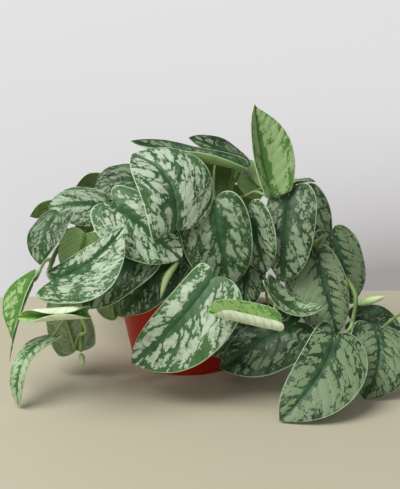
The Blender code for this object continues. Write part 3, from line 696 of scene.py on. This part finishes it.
def make_soil(finish):
    """The soil: a turned block whose top is uneven, lower at the wall and mounded by the vines.

    Its top is 88.4 + 0.9 exp(-(r / 34)^2) + crumbs, and 1.2 below SOIL_TOP at the wall.
    """
    floor = POT_FLOOR + GAP
    floor_radius = POT_BASE_RADIUS - POT_WALL - GAP + POT_TAPER * POT_FLOOR
    top_radius = POT_SHOULDER_RADIUS - POT_WALL - GAP
    top = [(radius, SOIL_TOP) for radius in np.linspace(top_radius - 3.0, 0.0, SOIL_RINGS)]
    profile = [(0.0, floor), (floor_radius, floor), (top_radius, SOIL_TOP - 3.5), *top]
    soil = turned("soil_block", profile, SOIL_SIDES, finish)
    points = np.empty(len(soil.data.vertices) * 3)
    soil.data.vertices.foreach_get("co", points)
    points = points.reshape(-1, 3) / MM
    x, y, z = points.T
    radius = np.hypot(x, y)
    rough = sum(height * lumps(x, y, size, seed) for height, size, seed in CRUMBS)
    mound = 0.9 * np.exp(-(radius / 34.0) ** 2) - 1.6
    edge = np.clip((top_radius - radius) / 8.0, 0.0, 1.0)
    uneven = SOIL_TOP + (mound + rough) * edge - 1.2 * (1 - edge)
    points[:, 2] = np.where(z > SOIL_TOP - 1.0, uneven, z)
    soil.data.vertices.foreach_set("co", (points * MM).ravel())
    soil.data.update()
    return soil


# ---- Finishes ----


def shade(red, green, blue):
    """A colour given from 0 to 255 as it looks on a screen, as linear values."""
    given = np.array([red, green, blue]) / 255
    linear = np.where(given <= 0.04045, given / 12.92, ((given + 0.055) / 1.055) ** 2.4)
    return (*linear.tolist(), 1.0)


class Nodes:
    """Short ways to add nodes to a tree and join them."""

    def __init__(self, tree):
        self.tree = tree

    def add(self, kind, inputs=None, output=0, **settings):
        """Add a node, set its properties, and set or join the named inputs."""
        made = self.tree.nodes.new("ShaderNode" + kind)
        for setting, value in settings.items():
            setattr(made, setting, value)
        for key, value in (inputs or {}).items():
            self.feed(made.inputs[key], value)
        return made.outputs[output]

    def feed(self, socket, value):
        if isinstance(value, bpy.types.NodeSocket):
            self.tree.links.new(value, socket)
        else:
            socket.default_value = value

    def math(self, operation, *values):
        return self.add("Math", dict(enumerate(values)), operation=operation)

    def plus(self, first, second):
        return self.math("ADD", first, second)

    def minus(self, first, second):
        return self.math("SUBTRACT", first, second)

    def times(self, first, second):
        return self.math("MULTIPLY", first, second)

    def line(self, value, slope, start):
        """slope * value + start."""
        return self.math("MULTIPLY_ADD", value, slope, start)

    def mix(self, factor, first, second):
        return self.add("Mix", {0: factor, 6: first, 7: second}, output=2, data_type="RGBA")

    def over(self, colour, *layers):
        """A colour with others laid over it in turn, each by its own amount."""
        for amount, layer in layers:
            colour = self.mix(amount, colour, layer)
        return colour

    def step(self, value, low, high, start=0.0, end=1.0):
        """start below low, end above high, and a smooth change between."""
        return self.add(
            "MapRange", {0: value, 1: low, 2: high, 3: start, 4: end}, interpolation_type="SMOOTHSTEP")

    def fall(self, value, low, high):
        """1 below low, 0 above high, and a smooth change between."""
        return self.step(value, low, high, 1.0, 0.0)

    def noise(self, place, scale, detail=2.0, roughness=0.5, output=0):
        return self.add(
            "TexNoise", {"Vector": place, "Scale": scale, "Detail": detail, "Roughness": roughness},
            output=output)

    def vector(self, x, y, z):
        return self.add("CombineXYZ", {0: x, 1: y, 2: z})

    def split(self, vector):
        return self.add("SeparateXYZ", {0: vector}).node.outputs

    def field(self, name, output="Vector"):
        """A value that each point of the piece carries."""
        return self.add("Attribute", output=output, attribute_name=name)

    def place(self):
        """The place in the piece, in metres."""
        return self.add("TexCoord", output="Object")

    def group(self, tree, **inputs):
        return self.add("Group", inputs, node_tree=tree).node.outputs


class Effect(Nodes):
    """The nodes of a new node group: inside are its inputs, and all its outputs are values."""

    def __init__(self, name, inputs, outputs):
        super().__init__(bpy.data.node_groups.new(name, "ShaderNodeTree"))
        sockets = [(socket, "INPUT", kind) for socket, kind in inputs.items()]
        for socket, way, kind in sockets + [(socket, "OUTPUT", "Float") for socket in outputs]:
            self.tree.interface.new_socket(
                name=socket, in_out=way, socket_type="NodeSocket" + kind)
        self.inside = self.tree.nodes.new("NodeGroupInput").outputs
        self.result = self.tree.nodes.new("NodeGroupOutput").inputs

    def done(self, **values):
        for key, value in values.items():
            self.feed(self.result[key], value)
        return self.tree


class Finish(Nodes):
    """The nodes of a new material, round its Principled shader."""

    def __init__(self, name, roughness, gloss):
        self.made = bpy.data.materials.new(name)
        self.made.use_nodes = True
        super().__init__(self.made.node_tree)
        self.shader = self.tree.nodes["Principled BSDF"]
        self.shader.inputs["Roughness"].default_value = roughness
        self.shader.inputs["Specular IOR Level"].default_value = gloss

    def done(self, colour, height=None, depth=0.0, strength=1.0, roughness=None):
        """Give the shader its colour, its roughness and, through a Bump node, its height."""
        self.feed(self.shader.inputs["Base Color"], colour)
        if roughness is not None:
            self.feed(self.shader.inputs["Roughness"], roughness)
        if height is not None:
            bump = self.add("Bump", {"Strength": strength, "Distance": depth, "Height": height})
            self.feed(self.shader.inputs["Normal"], bump)
        return self.made


def make_vein_group():
    """Where the side veins run.

    A vein that leaves the midrib at q runs out as x = q + (0.35 + 0.5x)|y| + 0.9y^2, so q is the
    same all along it.  Side is 0 on a vein and 1 half way to the next.
    """
    nodes = Effect(
        "leaf_veins", {"Place": "Vector", "Seed": "Float"}, ("Along", "Side", "Out", "Signed"))
    seed = nodes.inside["Seed"]
    x, y, _ = nodes.split(nodes.inside["Place"])
    out = nodes.math("ABSOLUTE", y)
    bend = nodes.times(nodes.times(out, out), 0.9)
    along = nodes.minus(nodes.minus(x, nodes.times(nodes.line(x, 0.5, 0.35), out)), bend)
    drift = nodes.noise(nodes.vector(along, y, seed), 5.0, 1.0)
    shift = nodes.line(nodes.math("SIGN", y), 0.22, seed)
    turn = nodes.plus(nodes.line(along, VEINS, shift), nodes.times(drift, 0.9))
    side = nodes.times(nodes.math("PINGPONG", turn, 0.5), 2.0)
    return nodes.done(Along=along, Side=side, Out=out, Signed=y)


def make_silver_group(veins):
    """Silver blotches: cells drawn out along the veins, with green channels between them.

    A low noise leaves some cells out, and fine specks roughen their edges, more so towards the
    margin.  They keep off a dark band by the midrib and thin out at the margin; on a veined leaf
    they are larger, and dark side veins cross them.
    """
    nodes = Effect(
        "leaf_silver", {"Place": "Vector", "Habit": "Vector"},
        ("Silver", "Bright", "Band", "Vein", "Quilt"))
    place = nodes.inside["Place"]
    seed, amount, veined = nodes.split(nodes.inside["Habit"])
    x, y, rim = nodes.split(place)
    vein = nodes.group(veins, Place=place, Seed=seed)
    depth = nodes.times(seed, 37.0)
    stretched = nodes.vector(
        nodes.times(vein["Along"], BLOTCHES_ALONG), nodes.times(vein["Signed"], BLOTCHES_ACROSS), depth)
    wander = nodes.noise(stretched, 1.1, 3.0, 0.6, output=1)
    drifted = nodes.add(
        "VectorMath", {0: wander, 1: (1.5, 1.5, 1.5), 2: stretched}, operation="MULTIPLY_ADD")
    cells = nodes.add("TexVoronoi", {"Vector": drifted, "Scale": 0.95}, feature="DISTANCE_TO_EDGE")
    channel = nodes.fall(cells, 0.0, nodes.line(veined, -0.10, 0.22))
    patches = nodes.noise(stretched, 0.8, 3.0, 0.55)
    fine = nodes.vector(nodes.times(x, SPECKS_ALONG), nodes.times(y, SPECKS_ACROSS), depth)
    specks = nodes.minus(nodes.noise(fine, 1.0, 2.0, 0.65), 0.5)
    mottled = nodes.step(rim, 0.35, 0.9, 2.2, 6.0)
    near_vein = nodes.fall(vein["Side"], 0.0, 0.55)
    reach = nodes.line(nodes.times(near_vein, veined), 0.08, 0.060)
    band = nodes.math("DIVIDE", vein["Out"], nodes.times(reach, nodes.step(x, 0.1, 1.0, 1.15, 0.35)))
    keep_off = nodes.math("MAXIMUM", nodes.minus(1.35, band), 0.0)
    line = nodes.fall(vein["Side"], 0.0, 0.20)
    drawn = nodes.step(nodes.noise(stretched, 0.7, 2.0), 0.42, 0.58)
    value = nodes.line(nodes.minus(patches, 0.36), 4.2, amount)
    for taken in (
            nodes.times(channel, 1.3), nodes.times(keep_off, 1.9),
            nodes.step(rim, 0.62, 0.95, 0.0, 0.9),
            nodes.times(nodes.times(line, drawn), nodes.times(veined, 1.5))):
        value = nodes.minus(value, taken)
    value = nodes.plus(value, nodes.times(specks, mottled))
    return nodes.done(
        Silver=nodes.step(value, -0.15, 0.20), Bright=nodes.step(value, 0.0, 1.3),
        Band=nodes.fall(band, 0.0, 1.6), Vein=line, Quilt=nodes.step(vein["Side"], 0.0, 0.8))


def make_tissue_group():
    """Fine grain of living tissue: cells under half a millimetre and faint cloudiness."""
    nodes = Effect("plant_tissue", {"Place": "Vector"}, ("Height", "Cloud"))
    place = nodes.inside["Place"]
    return nodes.done(
        Height=nodes.noise(place, 2600.0, 2.0, 0.6), Cloud=nodes.noise(place, 90.0, 3.0, 0.55))


def make_upper_finish(silver, tissue):
    """The upper side: deep green with silver blotches, a dark band at the midrib, a pale margin."""
    nodes = Finish("leaf_upper_side", 0.5, 0.25)
    place, habit = nodes.field("leaf_place"), nodes.field("leaf_habit")
    young, _, fresh = nodes.split(nodes.field("leaf_tone"))
    veined = nodes.split(habit)[2]
    _, y, rim = nodes.split(place)
    marks = nodes.group(silver, Place=place, Habit=habit)
    grain = nodes.group(tissue, Place=nodes.place())
    # Painted shade, partly: leaves that sit in shadow, and duller older leaves, get darker greens and
    # darker silver.
    dull = nodes.field("leaf_dull", "Fac")
    deep = nodes.over(
        shade(50, 80, 50), (fresh, shade(48, 88, 38)),
        (nodes.step(rim, 0.4, 0.95, 0.0, 0.5), shade(62, 108, 48)),
        (dull, nodes.mix(fresh, shade(28, 45, 27), shade(28, 52, 19))))
    cloudy = nodes.mix(0.5, deep, shade(84, 122, 80))
    deep = nodes.over(
        deep, (nodes.step(grain["Cloud"], 0.35, 0.7), cloudy),
        (nodes.times(marks["Band"], 0.35), shade(60, 96, 64)), (young, shade(94, 142, 62)))
    bright = nodes.over(
        shade(184, 198, 181), (veined, shade(153, 173, 140)),
        (nodes.times(fresh, 0.35), shade(176, 200, 154)))
    faint = nodes.mix(veined, shade(146, 164, 134), shade(126, 148, 108))
    bright = nodes.over(
        faint, (marks["Bright"], bright), (nodes.times(dull, 0.8), shade(104, 124, 88)),
        (young, shade(146, 182, 108)))
    # Painted shade: a thin darker line in the midrib's groove.
    crease_shade = nodes.fall(nodes.math("ABSOLUTE", y), 0.0, 0.010)
    edge = nodes.step(rim, 0.962, 0.985)
    colour = nodes.over(
        deep, (marks["Silver"], bright), (nodes.times(crease_shade, 0.55), shade(44, 82, 52)),
        (nodes.times(edge, 0.9), shade(184, 208, 170)))
    height = nodes.plus(marks["Quilt"], nodes.times(grain["Height"], 0.10))
    height = nodes.plus(height, nodes.times(grain["Cloud"], 0.45))
    return nodes.done(colour, height, 0.0005, 0.5, nodes.line(marks["Silver"], 0.10, 0.40))


def make_under_finish(silver, tissue):
    """The underside: even pale green with lighter raised veins, creamy on a leaf still rolled."""
    nodes = Finish("leaf_underside", 0.5, 0.3)
    place = nodes.field("leaf_place")
    young, glow, _ = nodes.split(nodes.field("leaf_tone"))
    marks = nodes.group(silver, Place=place, Habit=nodes.field("leaf_habit"))
    grain = nodes.group(tissue, Place=nodes.place())
    # Painted light and shade: each leaf's underside goes from a shaded grey green to a bright green, as
    # if lit through from behind.
    colour = nodes.over(
        shade(96, 108, 76), (nodes.step(glow, 0.0, 0.5), shade(112, 148, 86)),
        (nodes.step(glow, 0.5, 1.0), shade(172, 212, 136)),
        (nodes.step(young, 0.8, 1.0), shade(222, 234, 198)))
    cloudy = nodes.mix(0.5, colour, shade(60, 84, 40))
    edge = nodes.step(nodes.split(place)[2], 0.955, 0.985)
    colour = nodes.over(
        colour, (nodes.step(grain["Cloud"], 0.3, 0.7, 0.0, 0.4), cloudy),
        (nodes.times(marks["Silver"], 0.14), shade(176, 200, 160)),
        (nodes.times(marks["Vein"], 0.4), shade(164, 188, 128)),
        (nodes.times(edge, 0.7), shade(186, 208, 162)))
    height = nodes.minus(marks["Vein"], nodes.times(grain["Height"], -0.12))
    return nodes.done(colour, height, 0.0005, 0.7)


def make_stalk_finish(tissue):
    """Stalks and keels: light green, paler at the sheath, with a fine uneven skin."""
    nodes = Finish("stalk_green", 0.42, 0.4)
    run = nodes.split(nodes.field("leaf_place"))[0]
    young = nodes.split(nodes.field("leaf_tone"))[0]
    grain = nodes.group(tissue, Place=nodes.place())
    colour = nodes.over(
        shade(150, 180, 104), (nodes.step(run, 0.0, 0.5), shade(118, 154, 80)),
        (nodes.step(grain["Cloud"], 0.35, 0.7, 0.0, 0.6), shade(92, 128, 60)),
        (nodes.times(young, 0.6), shade(180, 204, 136)))
    return nodes.done(colour, nodes.plus(grain["Height"], grain["Cloud"]), 0.0003, 0.6)


def make_vine_finish(tissue):
    """Vines: mottled mid green with brown flecks and a pale ring at each leaf joint."""
    nodes = Finish("vine_green", 0.5, 0.35)
    joint = nodes.field("vine_joint", "Fac")
    grain = nodes.group(tissue, Place=nodes.place())
    flecks = nodes.noise(nodes.place(), 420.0, 2.0, 0.6)
    ring = nodes.times(nodes.step(joint, 0.35, 0.8), nodes.step(joint, 0.97, 0.8))
    colour = nodes.over(
        shade(122, 152, 84), (nodes.step(grain["Cloud"], 0.3, 0.7), shade(86, 116, 58)),
        (nodes.step(flecks, 0.60, 0.70, 0.0, 0.55), shade(120, 104, 66)),
        (nodes.times(ring, 0.6), shade(150, 142, 92)))
    height = nodes.plus(flecks, nodes.times(ring, 0.6))
    return nodes.done(colour, height, 0.0005, 0.6, nodes.step(flecks, 0.4, 0.7, 0.42, 0.62))


def make_shoot_finish(tissue):
    """Rolled shoots: creamy green with fine lines along the roll and a darker free edge."""
    nodes = Finish("shoot_cream", 0.42, 0.4)
    wrap, run = nodes.field("roll_wrap", "Fac"), nodes.field("roll_run", "Fac")
    grain = nodes.group(tissue, Place=nodes.place())
    lines = nodes.noise(nodes.vector(nodes.times(wrap, 24.0), run, 0.3), 1.0, 3.0, 0.6)
    colour = nodes.over(
        shade(128, 158, 92), (nodes.step(run, 0.0, 0.7), shade(186, 206, 152)),
        (nodes.step(lines, 0.45, 0.7, 0.0, 0.5), shade(140, 172, 102)),
        (nodes.step(wrap, 0.93, 1.0, 0.0, 0.6), shade(112, 146, 80)))
    return nodes.done(colour, nodes.plus(lines, grain["Cloud"]), 0.0004, 0.6)


def make_plastic_finish():
    """The pot's moulded plastic: orange red, with a faint mould texture and pale scuffs low down."""
    nodes = Finish("pot_red_plastic", 0.5, 0.15)
    place = nodes.place()
    x, y, z = nodes.split(place)
    cloud = nodes.noise(place, 14.0, 3.0, 0.5)
    pebble = nodes.noise(place, 900.0, 2.0, 0.5)
    level = nodes.vector(nodes.times(x, 60.0), nodes.times(y, 60.0), nodes.times(z, 700.0))
    streak = nodes.noise(level, 1.0, 3.0, 0.6)
    low = nodes.fall(z, 0.0, 0.03)
    scuff = nodes.times(nodes.step(streak, 0.60, 0.72), nodes.line(low, 0.35, 0.08))
    colour = nodes.over(
        shade(184, 42, 19), (nodes.step(cloud, 0.35, 0.65), shade(172, 36, 16)),
        (scuff, shade(206, 108, 84)))
    height = nodes.plus(pebble, nodes.times(scuff, 0.8))
    return nodes.done(colour, height, 0.00015, 0.5, nodes.line(cloud, 0.18, 0.38))


def make_soil_finish():
    """Potting mix: dark crumbs, lighter bark and pale perlite grains."""
    nodes = Finish("potting_mix", 0.9, 0.2)
    place = nodes.place()
    crumbs = nodes.add("TexVoronoi", {"Vector": place, "Scale": 330.0})
    grain = nodes.noise(place, 500.0, 4.0, 0.65)
    grit = nodes.add("TexVoronoi", {"Vector": place, "Scale": 210.0})
    pick = nodes.add("TexVoronoi", {"Vector": place, "Scale": 210.0}, output=1)
    chosen = nodes.step(nodes.split(pick)[0], 0.93, 0.95)
    perlite = nodes.times(chosen, nodes.fall(grit, 0.30, 0.38))
    colour = nodes.over(
        shade(38, 27, 19), (nodes.step(grain, 0.35, 0.65), shade(84, 62, 44)),
        (nodes.step(crumbs, 0.2, 0.7), shade(28, 20, 14)), (perlite, shade(206, 202, 192)))
    height = nodes.plus(nodes.plus(nodes.times(crumbs, -1.0), grain), perlite)
    return nodes.done(colour, height, 0.0018)


def make_wall_finish():
    """A pale wall seen at its own brightness, darker to the right and, there, towards the table.

    Its painted shade is 0.2 d on the left and 0.06 + 1.1 d^3 on the right, where it is a painted
    shadow of the plant near the table, with d from 0 to 1 downwards.
    """
    nodes = Finish("wall_grey", 0.9, 0.1)
    x, _, z = nodes.split(nodes.place())
    # Painted shade: the wall darkens to the right, and low on the right a painted shadow of the plant
    # darkens it by the table.
    right = nodes.add("MapRange", {0: x, 1: -0.45, 2: 0.45})
    down = nodes.add("MapRange", {0: z, 1: 0.16, 2: -0.51})
    shadow_near_table = nodes.line(nodes.math("POWER", down, 3.0), 1.1, 0.06)
    shadow = nodes.add("Mix", {0: right, 2: nodes.times(down, 0.2), 3: shadow_near_table})
    tone = nodes.mix(shadow, shade(229, 228, 228), shade(161, 157, 157))
    # Camera, glossy and transmission rays see the wall glow with this painted shade in place of its lit
    # look.
    path = nodes.add("LightPath").node.outputs
    straight = nodes.math("MAXIMUM", path["Is Camera Ray"], path["Is Glossy Ray"])
    straight = nodes.math("MAXIMUM", straight, path["Is Transmission Ray"])
    seen = nodes.add("Emission", {"Color": tone})
    mixed = nodes.add("MixShader", {0: straight, 1: nodes.shader.outputs[0], 2: seen})
    nodes.feed(nodes.tree.nodes["Material Output"].inputs["Surface"], mixed)
    return nodes.done(shade(226, 225, 226))


# ---- Stage ----


def make_stage():
    """A pale table that ends behind the plant, and a pale wall well behind it."""
    slant = TABLE_HALF * math.tan(TABLE_TURN)
    top = np.array([
        (-TABLE_HALF, TABLE_EDGE - slant, 0.0), (-TABLE_HALF, -TABLE_HALF, 0.0),
        (TABLE_HALF, -TABLE_HALF, 0.0), (TABLE_HALF, TABLE_EDGE + slant, 0.0)])
    corners = np.vstack([top, top - (0, 0, TABLE_THICKNESS)])
    faces = [[0, 1, 2, 3], [7, 6, 5, 4], [0, 3, 7, 4], [1, 5, 6, 2], [0, 4, 5, 1], [3, 2, 6, 7]]
    cream = Finish("table_cream", 0.55, 0.25).done(shade(181, 175, 153))
    table = put_mesh("table_top", corners, faces, [cream], smooth=False)
    outline = (-1, WALL_LOW), (1, WALL_LOW), (1, WALL_HIGH), (-1, WALL_HIGH)
    corners = [(side * WALL_HALF, WALL_AWAY, height) for side, height in outline]
    wall = put_mesh("wall", corners, [[0, 1, 2, 3]], [make_wall_finish()])


def make_lights():
    """A large soft lamp from the upper left, a weak one from the front, and an even surround."""
    for name, (place, size, power, colour) in LAMPS.items():
        lamp = bpy.data.lights.new(name, "AREA")
        lamp.shape, lamp.size, lamp.energy, lamp.color = "SQUARE", size, power, colour
        made = put_object(name, lamp)
        made.location = place
        away = unit(np.subtract(place, LAMP_TARGET))
        made.rotation_euler = (0.0, math.acos(away[2]), math.atan2(away[1], away[0]))
    world = bpy.data.worlds.new("surround")
    bpy.context.scene.world = world
    world.use_nodes = True
    background = world.node_tree.nodes["Background"]
    background.inputs["Color"].default_value = SURROUND_COLOUR
    background.inputs["Strength"].default_value = SURROUND_STRENGTH


def make_camera():
    """A long lens from the front that looks down on the plant a little."""
    data = bpy.data.cameras.new("camera")
    data.sensor_fit, data.sensor_height, data.lens = "VERTICAL", CAMERA_FRAME, CAMERA_LENS
    camera = put_object("camera", data)
    camera.location = CAMERA_PLACE
    camera.rotation_euler = (math.pi / 2 - CAMERA_DOWN, 0.0, 0.0)
    bpy.context.scene.camera = camera


# ---- Making ----


def settle(piece, node):
    """A finished piece stands for its node and moves with the body."""
    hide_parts(node)
    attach(piece, "root")


def main():
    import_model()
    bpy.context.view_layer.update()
    tissue = make_tissue_group()
    silver = make_silver_group(make_vein_group())
    leaf_finishes = [
        make_upper_finish(silver, tissue), make_under_finish(silver, tissue), make_stalk_finish(tissue)]
    vine, cream = make_vine_finish(tissue), make_shoot_finish(tissue)
    settle(make_pot(make_plastic_finish()), "pot")
    settle(make_soil(make_soil_finish()), "soil")
    for name, points in STEMS.items():
        settle(make_stem(name, points, vine), name)
    for name, shoot in SHOOTS.items():
        settle(make_shoot(name, shoot, cream), name)
    for name, leaf in LEAVES.items():
        settle(make_leaf(name, leaf, leaf_finishes), name)
    make_stage()
    make_lights()
    make_camera()
    bpy.context.scene.view_settings.view_transform = "Standard"


main()
